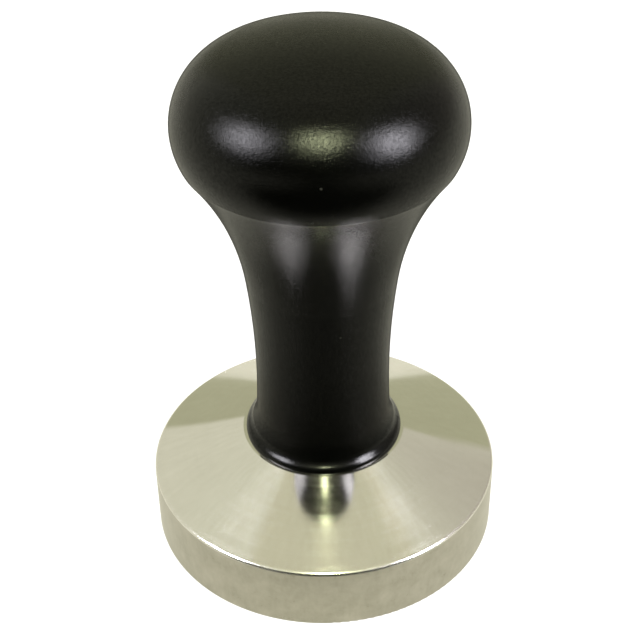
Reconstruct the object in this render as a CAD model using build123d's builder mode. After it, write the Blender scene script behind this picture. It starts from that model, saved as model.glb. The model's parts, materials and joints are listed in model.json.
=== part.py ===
"""Espresso tamper: a turned steel base and a turned handle, joined by a threaded stud.

Millimetres, +Z up. The origin is the centre of the flat sole that presses the coffee.
The handle is screwed down tight: its foot rests on the base's seat.
"""

import os
from math import pi, radians, tan

from build123d import *

# Base: a 58 mm piston with a conical top
BASE_RADIUS = 29.0
RIM_HEIGHT = 11.3  # to the corner, before it is rounded
RIM_ROUNDING = 0.65
SOLE_ROUNDING = 0.3
CONE_SLOPE = 23.0  # degrees above the horizontal
SEAT_RADIUS = 13.6
SEAT_Z = RIM_HEIGHT + (BASE_RADIUS - SEAT_RADIUS) * tan(radians(CONE_SLOPE))

# Handle: tangent arcs from the crown down to the lip, each a radius and a turn in degrees
HANDLE_TOP_Z = 88.25
CROWN = (47.9, 17.25)
SHOULDER = (11.1, 97.85)
KNOB_EDGE = (1.0, 11.1)
NECK = (47.6, 28.95)
STEM_FOOT_RADIUS = 11.12
STEM_FOOT_HEIGHT = 5.04  # above the seat
FLARE = (8.0, 24.94)
LIP_COVE = (2.5, 22.0)
LIP_BEAD = (1.2, 50.0)

# M8 coarse thread, shared by the stud, the base and the handle
PITCH = 1.25
THREAD_RADIUS = 4.0
FLANK_ANGLE = 30.0  # degrees, each side
STUD_CORE_RADIUS = 3.15
STUD_CREST_RADIUS = 3.85
TAP_CORE_RADIUS = 3.4
TAP_CREST_RADIUS = 4.05
FLANK_PLAY = 0.15  # along the axis, taken off the stud's ridge and added to the tapped groove
RIDGE_OVERLAP = 0.1  # how far each ridge is sunk in its core
MOUTH_RADIUS = 4.15
MOUTH_CHAMFER = 0.7

# Stud: a set screw, fixed in the handle, with its hex socket at the lower end
TURNS_IN_BASE = 8
TURNS_IN_HANDLE = 12
STUD_LOW_Z = SEAT_Z - TURNS_IN_BASE * PITCH
STUD_HIGH_Z = SEAT_Z + TURNS_IN_HANDLE * PITCH
STUD_CHAMFER = 0.9
SOCKET_ACROSS_FLATS = 4.0
SOCKET_DEPTH = 4.0
BASE_HOLE_LOW_Z = STUD_LOW_Z - PITCH
DRILL_TIP_ANGLE = 118.0

# Rubber ring, 16 x 1.8 mm, squeezed in a groove under the handle's foot
RING_SECTION = 1.8
RING_INNER_RADIUS = 8.0
GROOVE_DEPTH = 1.5
GROOVE_SIDE_ROOM = 0.15
RING_CENTRE_RADIUS = RING_INNER_RADIUS + RING_SECTION / 2
# The squeezed section keeps its area: flat above and below, round at the sides
RING_FLAT_WIDTH = (pi / 4) * (RING_SECTION**2 - GROOVE_DEPTH**2) / GROOVE_DEPTH
RING_WIDTH = RING_FLAT_WIDTH + GROOVE_DEPTH


def threaded_rod(core_radius, crest_radius, play, low_z, high_z):
    """A rod with the right-hand M8 thread, made two turns too long each way and cut square.

    low_z and high_z are a whole number of pitches from the seat, so that every thread made
    here is in step with the others.
    """
    ridge_foot_radius = core_radius - RIDGE_OVERLAP
    ridge_z = low_z - PITCH

    def half_width(radius):
        return PITCH / 16 + (THREAD_RADIUS - radius) * tan(radians(FLANK_ANGLE)) + play / 2

    with BuildPart() as rod:
        with BuildSketch(Plane.XZ):
            with BuildLine():
                Polyline(
                    (ridge_foot_radius, ridge_z - half_width(ridge_foot_radius)),
                    (crest_radius, ridge_z - half_width(crest_radius)),
                    (crest_radius, ridge_z + half_width(crest_radius)),
                    (ridge_foot_radius, ridge_z + half_width(ridge_foot_radius)),
                    close=True,
                )
            make_face()
        with BuildLine():
            Helix(PITCH, high_z - low_z + 2 * PITCH, core_radius, center=(0, 0, ridge_z))
        sweep(is_frenet=True)
        with Locations((0, 0, low_z - 2 * PITCH)):
            Cylinder(
                core_radius,
                high_z - low_z + 4 * PITCH,
                align=(Align.CENTER, Align.CENTER, Align.MIN),
            )
        split(bisect_by=Plane.XY.offset(low_z), keep=Keep.TOP)
        split(bisect_by=Plane.XY.offset(high_z), keep=Keep.BOTTOM)
    return rod.part


os.makedirs("parts", exist_ok=True)

# Base -------------------------------------------------------------------------------------
base_tap = threaded_rod(
    TAP_CORE_RADIUS, TAP_CREST_RADIUS, FLANK_PLAY, BASE_HOLE_LOW_Z, SEAT_Z + PITCH
)

with BuildPart() as tamper_base:
    with BuildSketch(Plane.XZ):
        with BuildLine():
            Polyline(
                (0, 0),
                (BASE_RADIUS, 0),
                (BASE_RADIUS, RIM_HEIGHT),
                (SEAT_RADIUS, SEAT_Z),
                (0, SEAT_Z),
                close=True,
            )
        make_face()
    revolve(axis=Axis.Z)
    circles = tamper_base.edges().filter_by(GeomType.CIRCLE).group_by(Axis.Z)
    fillet(circles[0], SOLE_ROUNDING)
    fillet(circles[1], RIM_ROUNDING)

    # Tapped hole, with the drill's cone below it and a chamfered mouth
    add(base_tap, mode=Mode.SUBTRACT)
    drill_tip = TAP_CORE_RADIUS / tan(radians(DRILL_TIP_ANGLE / 2))
    with Locations((0, 0, BASE_HOLE_LOW_Z)):
        Cone(
            0,
            TAP_CORE_RADIUS,
            drill_tip,
            align=(Align.CENTER, Align.CENTER, Align.MAX),
            mode=Mode.SUBTRACT,
        )
    with Locations((0, 0, SEAT_Z)):
        Cone(
            MOUTH_RADIUS - MOUTH_CHAMFER,
            MOUTH_RADIUS,
            MOUTH_CHAMFER,
            align=(Align.CENTER, Align.CENTER, Align.MAX),
            mode=Mode.SUBTRACT,
        )

tamper_base.part.label = "tamper_base"
export_step(tamper_base.part, "parts/tamper_base.step")

# Handle -----------------------------------------------------------------------------------
handle_tap = threaded_rod(
    TAP_CORE_RADIUS, TAP_CREST_RADIUS, FLANK_PLAY, SEAT_Z - PITCH, STUD_HIGH_Z
)

with BuildPart() as handle:
    with BuildSketch(Plane.XZ):
        with BuildLine():
            crown = JernArc((0, HANDLE_TOP_Z), (1, 0), CROWN[0], -CROWN[1])
            shoulder = JernArc(crown @ 1, crown % 1, SHOULDER[0], -SHOULDER[1])
            knob_edge = JernArc(shoulder @ 1, shoulder % 1, KNOB_EDGE[0], -KNOB_EDGE[1])
            neck = JernArc(knob_edge @ 1, knob_edge % 1, NECK[0], NECK[1])
            stem_foot = (STEM_FOOT_RADIUS, SEAT_Z + STEM_FOOT_HEIGHT)
            stem = TangentArc(neck @ 1, stem_foot, tangent=neck % 1)
            flare = JernArc(stem @ 1, stem % 1, FLARE[0], FLARE[1])
            cove = JernArc(flare @ 1, flare % 1, LIP_COVE[0], LIP_COVE[1])
            bead = JernArc(cove @ 1, cove % 1, LIP_BEAD[0], -LIP_BEAD[1])
            lip_radius = (bead @ 1).X
            Polyline(bead @ 1, (lip_radius, SEAT_Z), (0, SEAT_Z), (0, HANDLE_TOP_Z))
        make_face()
    revolve(axis=Axis.Z)

    # Tapped hole with a chamfered mouth, and the groove for the rubber ring
    add(handle_tap, mode=Mode.SUBTRACT)
    with Locations((0, 0, SEAT_Z)):
        Cone(
            MOUTH_RADIUS,
            MOUTH_RADIUS - MOUTH_CHAMFER,
            MOUTH_CHAMFER,
            align=(Align.CENTER, Align.CENTER, Align.MIN),
            mode=Mode.SUBTRACT,
        )
    groove_width = RING_WIDTH + 2 * GROOVE_SIDE_ROOM
    with BuildSketch(Plane.XZ):
        with Locations((RING_CENTRE_RADIUS, SEAT_Z + GROOVE_DEPTH / 2)):
            Rectangle(groove_width, GROOVE_DEPTH)
    revolve(axis=Axis.Z, mode=Mode.SUBTRACT)

handle.part.label = "handle"
export_step(handle.part, "parts/handle.step")

# Stud -------------------------------------------------------------------------------------
stud_blank = threaded_rod(
    STUD_CORE_RADIUS, STUD_CREST_RADIUS, -FLANK_PLAY, STUD_LOW_Z, STUD_HIGH_Z
)

with BuildPart() as connecting_stud:
    add(stud_blank)
    # Both ends are chamfered by keeping what lies inside a chamfered cylinder
    with BuildSketch(Plane.XZ):
        with BuildLine():
            Polyline(
                (0, STUD_LOW_Z),
                (TAP_CREST_RADIUS - STUD_CHAMFER, STUD_LOW_Z),
                (TAP_CREST_RADIUS, STUD_LOW_Z + STUD_CHAMFER),
                (TAP_CREST_RADIUS, STUD_HIGH_Z - STUD_CHAMFER),
                (TAP_CREST_RADIUS - STUD_CHAMFER, STUD_HIGH_Z),
                (0, STUD_HIGH_Z),
                close=True,
            )
        make_face()
    revolve(axis=Axis.Z, mode=Mode.INTERSECT)
    with BuildSketch(Plane.XY.offset(STUD_LOW_Z)):
        RegularPolygon(SOCKET_ACROSS_FLATS / 2, 6, major_radius=False)
    extrude(amount=SOCKET_DEPTH, mode=Mode.SUBTRACT)

connecting_stud.part.label = "connecting_stud"
export_step(connecting_stud.part, "parts/connecting_stud.step")

# Rubber ring ------------------------------------------------------------------------------
with BuildPart() as foot_o_ring:
    with BuildSketch(Plane.XZ):
        with Locations((RING_CENTRE_RADIUS, SEAT_Z + GROOVE_DEPTH / 2)):
            SlotOverall(RING_WIDTH, GROOVE_DEPTH)
    revolve(axis=Axis.Z)

foot_o_ring.part.label = "foot_o_ring"
export_step(foot_o_ring.part, "parts/foot_o_ring.step")
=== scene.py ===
import json
from math import cos, pi, radians, sin

import bpy
from mathutils import Matrix, Vector


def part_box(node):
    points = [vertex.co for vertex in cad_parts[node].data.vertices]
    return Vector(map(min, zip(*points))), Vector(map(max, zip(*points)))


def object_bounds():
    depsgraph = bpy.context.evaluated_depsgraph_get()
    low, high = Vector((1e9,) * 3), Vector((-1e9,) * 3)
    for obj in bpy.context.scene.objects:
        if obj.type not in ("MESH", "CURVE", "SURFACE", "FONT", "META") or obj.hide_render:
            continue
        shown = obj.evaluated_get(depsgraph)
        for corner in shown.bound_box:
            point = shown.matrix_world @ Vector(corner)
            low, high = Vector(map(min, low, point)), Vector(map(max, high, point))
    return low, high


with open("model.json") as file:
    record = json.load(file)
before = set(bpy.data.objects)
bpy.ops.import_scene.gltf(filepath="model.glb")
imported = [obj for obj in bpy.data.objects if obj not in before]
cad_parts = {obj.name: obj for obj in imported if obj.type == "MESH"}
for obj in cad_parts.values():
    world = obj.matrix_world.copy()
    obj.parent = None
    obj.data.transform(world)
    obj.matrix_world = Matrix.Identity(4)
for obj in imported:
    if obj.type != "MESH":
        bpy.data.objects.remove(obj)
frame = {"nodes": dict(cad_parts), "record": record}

CAD_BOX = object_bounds()
MM = 0.001

# Camera: it looks down at the tamper from the front
CAMERA_DISTANCE = 225.5 * MM
CAMERA_ELEVATION = radians(36.5)
CAMERA_ROLL = radians(-0.92)
CAMERA_LENS = 79.9
CAMERA_SEES = (0.01, 20)  # nearest and farthest
AIM = Vector((-0.91, 0, 40.1)) * MM

# Studio
STUDIO_SIZE = 3.0  # how far the floor and the backdrop reach from the tamper
BACKDROP_FOOT = -0.1
LIGHT_DISTANCE = 0.9
PALE_VIOLET = (0.95, 0.93, 1.0)
YELLOW_GREEN = (0.93, 1.0, 0.6)

# Where a finish changes: each pair is the start and the end of a gradual change
BASE_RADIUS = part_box("tamper_base")[1].x
HANDLE_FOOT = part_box("handle")[0].z
RIM_PIN = next(m for m in frame["record"]["mounts"] if m["name"] == "piston_rim")
RIM_TOP = RIM_PIN["pos_m"][2] + RIM_PIN["dims"]["length_mm"] * MM / 2
RIM_TOP_CHANGE = (RIM_TOP + 0.05 * MM, RIM_TOP + 0.16 * MM)
RIM_SKIN_CHANGE = (BASE_RADIUS - 0.4 * MM, BASE_RADIUS - 0.3 * MM)
CORNER_CHANGE = (BASE_RADIUS - 0.65 * MM, BASE_RADIUS - 0.15 * MM)
LIP_TOP_CHANGE = (HANDLE_FOOT + 1.6 * MM, HANDLE_FOOT + 2.4 * MM)
NECK_FOOT_CHANGE = (47 * MM, 56 * MM)
NECK_MIDDLE_CHANGE = (57 * MM, 64 * MM)
KNOB_FOOT_CHANGE = (69 * MM, 74 * MM)

# Most of a noise texture's values lie between these two
NOISE_SPAN = (0.3, 0.7)

# The refractive index that a Principled shader starts with
USUAL_IOR = 1.5


def make_camera():
    back = Vector((0, -cos(CAMERA_ELEVATION), sin(CAMERA_ELEVATION)))
    right = Vector((1, 0, 0))
    up = back.cross(right)
    rolled_right = cos(CAMERA_ROLL) * right + sin(CAMERA_ROLL) * up
    rolled_up = cos(CAMERA_ROLL) * up - sin(CAMERA_ROLL) * right
    data = bpy.data.cameras.new("camera")
    data.sensor_width = 36
    data.lens = CAMERA_LENS
    data.clip_start, data.clip_end = CAMERA_SEES
    camera = bpy.data.objects.new("camera", data)
    turn = Matrix((rolled_right, rolled_up, back)).transposed().to_4x4()
    camera.matrix_world = Matrix.Translation(AIM + CAMERA_DISTANCE * back) @ turn
    bpy.context.scene.collection.objects.link(camera)
    bpy.context.scene.camera = camera


# Shader nodes ----------------------------------------------------------------------------
class Nodes:
    """A short way to add and join shader nodes in one tree."""

    def __init__(self, tree):
        self.tree = tree
        self.tree.nodes.clear()

    def add(self, kind, settings=None, **inputs):
        """A new node. In an input's name, _ stands for a space."""
        node = self.tree.nodes.new(kind)
        for key, value in (settings or {}).items():
            setattr(node, key, value)
        for key, value in inputs.items():
            self.set(node, key.replace("_", " "), value)
        return node

    def set(self, node, key, value):
        socket = node.inputs[key]
        if isinstance(value, bpy.types.NodeSocket):
            self.tree.links.new(value, socket)
        else:
            socket.default_value = value

    def math(self, operation, *values):
        node = self.add("ShaderNodeMath", {"operation": operation})
        for i, value in enumerate(values):
            self.set(node, i, value)
        return node.outputs[0]

    def plus(self, first, *others):
        for other in others:
            first = self.math("ADD", first, other)
        return first

    def times(self, first, *others):
        for other in others:
            first = self.math("MULTIPLY", first, other)
        return first

    def minus(self, first, other):
        return self.math("SUBTRACT", first, other)

    def length(self, a, b):
        return self.math("SQRT", self.plus(self.times(a, a), self.times(b, b)))

    def spread(self, value, ends, to=(0, 1), kind="LINEAR"):
        """Carry a value evenly from one range to another, and keep it inside the second."""
        node = self.add(
            "ShaderNodeMapRange",
            {"interpolation_type": kind},
            Value=value,
            From_Min=ends[0],
            From_Max=ends[1],
            To_Min=to[0],
            To_Max=to[1],
        )
        return node.outputs[0]

    def fade(self, value, ends, to=(0, 1)):
        """Spread with a gentle start and end."""
        return self.spread(value, ends, to, "SMOOTHSTEP")

    def vary(self, noise, low, high):
        """Carry a noise texture's usual span to low and high."""
        return self.spread(noise, NOISE_SPAN, (low, high))

    def blend(self, share, start, end):
        """Start where share is 0, end where it is 1."""
        return self.plus(self.times(start, self.minus(1, share)), self.times(end, share))

    def noise(self, vector, scale, detail, roughness):
        kind = "ShaderNodeTexNoise"
        node = self.add(kind, Vector=vector, Scale=scale, Detail=detail, Roughness=roughness)
        return node.outputs["Fac"]

    def mix(self, share, low, high):
        """A colour between low and high."""
        node = self.add("ShaderNodeMix", {"data_type": "RGBA"})
        self.set(node, 0, share)
        for i, colour in ((6, low), (7, high)):
            self.set(node, i, (*colour, 1) if isinstance(colour, tuple) else colour)
        return node.outputs[2]

    def bump(self, height, strength, distance):
        node = self.add("ShaderNodeBump", Height=height, Strength=strength, Distance=distance)
        return node.outputs["Normal"]

    def point(self, socket="Object"):
        return self.add("ShaderNodeTexCoord").outputs[socket]

    def split(self, vector):
        return self.add("ShaderNodeSeparateXYZ", Vector=vector).outputs

    def join(self, x, y, z):
        return self.add("ShaderNodeCombineXYZ", X=x, Y=y, Z=z).outputs[0]

    def specks(self, vector, scale, size, rarity):
        """Small round dots, 1 inside, in the cells whose random number is above rarity."""
        cells = self.add("ShaderNodeTexVoronoi", Vector=vector, Scale=scale)
        dot = self.fade(cells.outputs["Distance"], (size, 2 * size), to=(1, 0))
        number = self.split(cells.outputs["Color"])[0]
        return self.times(dot, self.math("GREATER_THAN", number, rarity))

    def refraction(self, gloss):
        """The refractive index that mirrors gloss times as much, head on, as the usual one."""
        usual_root = (USUAL_IOR - 1) / (USUAL_IOR + 1)
        root = self.times(self.math("SQRT", gloss), usual_root)
        return self.math("DIVIDE", self.plus(root, 1), self.minus(1, root))


class Finish(Nodes):
    """A material with one Principled shader."""

    def __init__(self, name, **constants):
        self.material = bpy.data.materials.new(name)
        self.material.use_nodes = True
        super().__init__(self.material.node_tree)
        self.shader = self.add("ShaderNodeBsdfPrincipled", **constants)
        output = self.add("ShaderNodeOutputMaterial")
        self.tree.links.new(self.shader.outputs["BSDF"], output.inputs["Surface"])

    def show(self, **inputs):
        for key, value in inputs.items():
            self.set(self.shader, key.replace("_", " "), value)


# Finishes --------------------------------------------------------------------------------
def black_anodised():
    """Bead-blasted black aluminium: a satin grain, smoother on the lip at the foot."""
    n = Finish("handle_black", Specular_IOR_Level=0.14)
    point = n.point()
    z = n.split(point)[2]
    lip = n.fade(z, LIP_TOP_CHANGE, to=(1, 0))
    shaft = n.fade(z, KNOB_FOOT_CHANGE, to=(1, 0))
    facing = n.add("ShaderNodeLayerWeight", Blend=0.5).outputs["Facing"]
    grain = n.noise(point, scale=5200, detail=2, roughness=0.6)
    sparkle = n.noise(point, scale=2500, detail=3, roughness=0.7)
    cloud = n.noise(point, scale=90, detail=3, roughness=0.55)
    speck = n.specks(point, scale=230, size=0.03, rarity=0.55)
    black = n.mix(cloud, (0.0002, 0.00022, 0.00015), (0.0006, 0.00065, 0.0005))
    relief = n.plus(n.times(grain, 0.85), n.times(sparkle, 0.45))

    # Hazier where it is seen at a low angle
    haze = n.plus(
        n.fade(facing, (0.4, 0.75), to=(0, 0.14)),
        n.fade(facing, (0.8, 0.95), to=(0, 0.3)),
    )
    satin = n.plus(n.vary(grain, 0.14, 0.22), n.vary(cloud, -0.02, 0.02), haze)
    polish = n.vary(cloud, 0.16, 0.21)

    # Glossiest on the knob, the lip and the outline, and least glossy on the neck
    neck = n.times(
        shaft,
        n.fade(z, NECK_FOOT_CHANGE),
        n.fade(z, NECK_MIDDLE_CHANGE, to=(-0.26, -0.16)),
        n.fade(facing, (0.78, 0.95), to=(1, 0)),
    )
    edge = n.times(shaft, n.fade(facing, (0.8, 0.96), to=(0, 0.35)))
    gloss = n.plus(n.spread(shaft, (0, 1), to=(1, 0.54)), neck, edge, n.times(lip, 0.65))
    uneven_gloss = n.times(n.spread(sparkle, (0.35, 0.65), to=(0.68, 1.32)), gloss)

    n.show(
        Base_Color=n.mix(speck, black, (0.012, 0.012, 0.010)),
        Roughness=n.plus(n.blend(lip, satin, polish), n.times(speck, 0.15)),
        IOR=n.refraction(uneven_gloss),
        Normal=n.bump(n.times(relief, n.spread(lip, (0, 1), to=(1, 0.3))), 0.55, 0.08 * MM),
    )
    return n.material


def turned_steel():
    """Stainless steel: a bright turned cone with fine scratches, and a duller, mottled side whose
    darker colour is partly painted shade.
    """
    n = Finish("base_steel", Metallic=1.0, Anisotropic_Rotation=0.25)
    point = n.point()
    x, y, z = n.split(point)
    radius = n.length(x, y)
    corner = n.fade(radius, CORNER_CHANGE)
    side = n.times(n.spread(radius, RIM_SKIN_CHANGE), n.spread(z, RIM_TOP_CHANGE, to=(1, 0)))

    # Turning marks change along the profile and hardly round the axis
    profile_point = n.join(radius, n.times(n.math("ARCTAN2", y, x), 0.00004), z)
    fine = n.noise(profile_point, scale=9000, detail=2, roughness=0.6)
    broad = n.noise(profile_point, scale=1100, detail=2, roughness=0.6)

    # The cone's colour varies in patches and in faint streaks that run outwards
    round_point = n.join(
        n.math("DIVIDE", x, radius),
        n.math("DIVIDE", y, radius),
        n.times(radius, 12),
    )
    patch = n.noise(point, scale=120, detail=3, roughness=0.6)
    streak = n.noise(round_point, scale=24, detail=3, roughness=0.6)
    marks = n.plus(n.times(patch, 0.4), n.times(streak, 0.6))
    bright = n.mix(marks, (0.59, 0.575, 0.53), (0.73, 0.715, 0.68))

    # The side's colour varies in blotches, drawn out a little upwards. It is darker than the
    # cone's, partly from a duller satin finish and partly as painted shade.
    tall_point = n.join(x, y, n.times(z, 0.4))
    blotch = n.noise(point, scale=260, detail=4, roughness=0.65)
    stripe = n.noise(tall_point, scale=1300, detail=2, roughness=0.6)
    mottle = n.plus(n.times(blotch, 0.75), n.times(stripe, 0.25))
    dull_and_shaded = n.mix(mottle, (0.24, 0.235, 0.185), (0.54, 0.51, 0.455))

    # A few in a hundred points are rough, as fine scratches are
    hair = n.add("ShaderNodeTexWhiteNoise", {"noise_dimensions": "3D"}, Vector=point)
    chance = n.plus(hair.outputs["Value"], n.vary(broad, -0.03, 0.03))
    scratch = n.math("GREATER_THAN", chance, 0.968)
    polish = n.plus(0.05, n.times(scratch, 0.36), n.times(corner, 0.13))
    satin = n.plus(n.vary(fine, 0.28, 0.4), n.vary(mottle, -0.04, 0.04))
    tangent = n.add("ShaderNodeTangent", {"direction_type": "RADIAL", "axis": "Z"})

    n.show(
        Base_Color=n.mix(side, bright, dull_and_shaded),
        Roughness=n.blend(side, polish, satin),
        Anisotropic=n.spread(corner, (0, 0.3), to=(1.0, 0.4)),
        Tangent=tangent.outputs[0],
        Normal=n.bump(fine, 0.03, 0.02 * MM),
    )
    return n.material


def plain_steel():
    """A rolled thread: grey steel, a little uneven."""
    n = Finish("stud_steel", Metallic=1.0)
    wear = n.noise(n.point(), scale=700, detail=3, roughness=0.6)
    n.show(
        Base_Color=n.mix(wear, (0.33, 0.33, 0.34), (0.52, 0.52, 0.52)),
        Roughness=n.vary(wear, 0.25, 0.42),
        Normal=n.bump(wear, 0.2, 0.05 * MM),
    )
    return n.material


def black_rubber():
    """Nitrile rubber with a faint bloom."""
    n = Finish("ring_rubber")
    bloom = n.noise(n.point(), scale=1500, detail=3, roughness=0.6)
    n.show(
        Base_Color=n.mix(bloom, (0.009, 0.009, 0.009), (0.028, 0.028, 0.027)),
        Roughness=n.vary(bloom, 0.5, 0.7),
        Normal=n.bump(bloom, 0.3, 0.05 * MM),
    )
    return n.material


def give(node, material):
    mesh = frame["nodes"][node].data
    mesh.materials.clear()
    mesh.materials.append(material)


# Studio ----------------------------------------------------------------------------------
def show_only_to(surface, seen_by):
    """Let only the named kinds of ray see a surface."""
    for kind in ("camera", "diffuse", "glossy", "shadow", "transmission"):
        setattr(surface, "visible_" + kind, kind in seen_by)


def stage_plane(name, height, material, seen_by):
    """A large level plane."""
    size = STUDIO_SIZE
    corners = [(-size, -size, 0), (size, -size, 0), (size, size, 0), (-size, size, 0)]
    mesh = bpy.data.meshes.new(name)
    mesh.from_pydata(corners, [], [(0, 1, 2, 3)])
    mesh.materials.append(material)
    plane = bpy.data.objects.new(name, mesh)
    plane.location.z = height
    show_only_to(plane, seen_by)
    bpy.context.scene.collection.objects.link(plane)


def floor_paper():
    white = (1, 1, 1, 1)
    n = Finish("floor_white", Roughness=0.9, Emission_Color=white, Emission_Strength=0.86)
    fleck = n.noise(n.point(), scale=8, detail=3, roughness=0.5)
    n.show(Base_Color=n.mix(fleck, (0.13, 0.13, 0.13), (0.15, 0.15, 0.15)))
    return n.material


def glow(name, strength, colour):
    """A surface that gives light of its own. Strength is a number, or a function of its nodes."""
    material = bpy.data.materials.new(name)
    material.use_nodes = True
    n = Nodes(material.node_tree)
    light = n.add("ShaderNodeEmission", Color=(*colour, 1))
    output = n.add("ShaderNodeOutputMaterial")
    n.tree.links.new(light.outputs[0], output.inputs["Surface"])
    n.set(light, "Strength", strength(n) if callable(strength) else strength)
    return material


def table_light(n):
    """Bright round the tamper, but dark in a round-ended strip that runs forward from it."""
    strip_start = 0.2  # how far in front of the tamper's axis its round end is centred
    strip_edge = (0.135, 0.166)
    flattening = 0.6
    x, y, _ = n.split(n.point())
    back = n.math("MAXIMUM", n.plus(y, strip_start), 0)
    reach = n.math("SQRT", n.plus(n.times(x, x, flattening), n.times(back, back)))
    return n.fade(reach, strip_edge, to=(0.02, 1.0))


def make_sky():
    """An olive room: bright overhead and at the sides, a dimmer wall behind, dark in front."""
    world = bpy.data.worlds.new("studio")
    bpy.context.scene.world = world
    world.use_nodes = True
    n = Nodes(world.node_tree)
    x, y, z = n.split(n.point("Generated"))
    azimuth_behind = n.math("ARCTAN2", x, y)
    azimuth_ahead = n.math("ABSOLUTE", n.math("ARCTAN2", x, n.times(y, -1)))
    right_side = n.fade(x, (0.35, 0.75))
    ceiling = n.times(
        n.fade(x, (-0.38, -0.31)),
        n.fade(x, (0.38, 0.44), to=(1, 0)),
        n.fade(z, (0.7, 0.85)),
    )
    wall = n.times(
        n.fade(azimuth_behind, (radians(-31), radians(-29))),
        n.fade(azimuth_behind, (radians(37), radians(39)), to=(1, 0)),
        n.fade(z, (0.65, 0.92), to=(1, 0)),
    )
    front = n.times(
        n.fade(azimuth_ahead, (radians(50), radians(85)), to=(1, 0)),
        n.fade(z, (0.3, 0.75), to=(1, 0)),
    )
    room = n.mix(n.spread(z, (0, 1)), (0.88, 0.86, 0.70), (0.90, 0.90, 0.72))
    room = n.mix(right_side, room, (0.6, 0.56, 0.47))
    room = n.mix(ceiling, room, (0.8, 0.78, 0.575))
    room = n.mix(wall, room, (0.56, 0.56, 0.38))
    room = n.mix(front, room, (0.01, 0.01, 0.008))
    background = n.add("ShaderNodeBackground", Color=room, Strength=1.0)
    output = n.add("ShaderNodeOutputWorld")
    n.tree.links.new(background.outputs[0], output.inputs["Surface"])


def make_backdrop():
    """A white surround that only the camera sees, so that every view has a plain background."""
    steps = 32
    turns = [2 * pi * i / steps for i in range(steps)]
    ring = [(STUDIO_SIZE * cos(turn), STUDIO_SIZE * sin(turn)) for turn in turns]
    corners = [(x, y, z) for z in (BACKDROP_FOOT, STUDIO_SIZE) for x, y in ring]
    sides = [(i, (i + 1) % steps, steps + (i + 1) % steps, steps + i) for i in range(steps)]
    lid = tuple(range(steps, 2 * steps))
    mesh = bpy.data.meshes.new("backdrop")
    mesh.from_pydata(corners, [], [*sides, lid])
    mesh.materials.append(glow("backdrop_white", 1.05, (1, 1, 1)))
    dome = bpy.data.objects.new("backdrop", mesh)
    show_only_to(dome, ("camera",))
    bpy.context.scene.collection.objects.link(dome)


def softbox(name, azimuth, elevation, size, radiance, colour):
    """An area light that looks at the tamper. Azimuth 0 is in front, and + is to the right."""
    a, e = radians(azimuth), radians(elevation)
    out = Vector((sin(a) * cos(e), -cos(a) * cos(e), sin(e)))
    data = bpy.data.lights.new(name, "AREA")
    data.shape = "RECTANGLE"
    data.size, data.size_y = size
    data.energy = radiance * pi * size[0] * size[1]
    data.color = colour
    light = bpy.data.objects.new(name, data)
    light.location = AIM + LIGHT_DISTANCE * out
    light.rotation_mode = "QUATERNION"
    light.rotation_quaternion = out.to_track_quat("Z", "Y")
    bpy.context.scene.collection.objects.link(light)


make_camera()
give("tamper_base", turned_steel())
give("handle", black_anodised())
give("connecting_stud", plain_steel())
give("foot_o_ring", black_rubber())
lit_table = glow("table_light", table_light, (1.0, 0.98, 0.8))
stage_plane("floor", CAD_BOX[0].z, floor_paper(), ("camera", "diffuse", "shadow"))
stage_plane("lit_table", CAD_BOX[0].z, lit_table, ("glossy",))
make_backdrop()
make_sky()
softbox("left_box", -67, 36, size=(0.36, 0.36), radiance=26, colour=PALE_VIOLET)
softbox("right_box", 62, 31, size=(0.29, 0.4), radiance=43, colour=PALE_VIOLET)
softbox("top_lamp", 1, 54, size=(0.08, 0.22), radiance=190, colour=YELLOW_GREEN)
bpy.context.scene.view_settings.view_transform = "Standard"
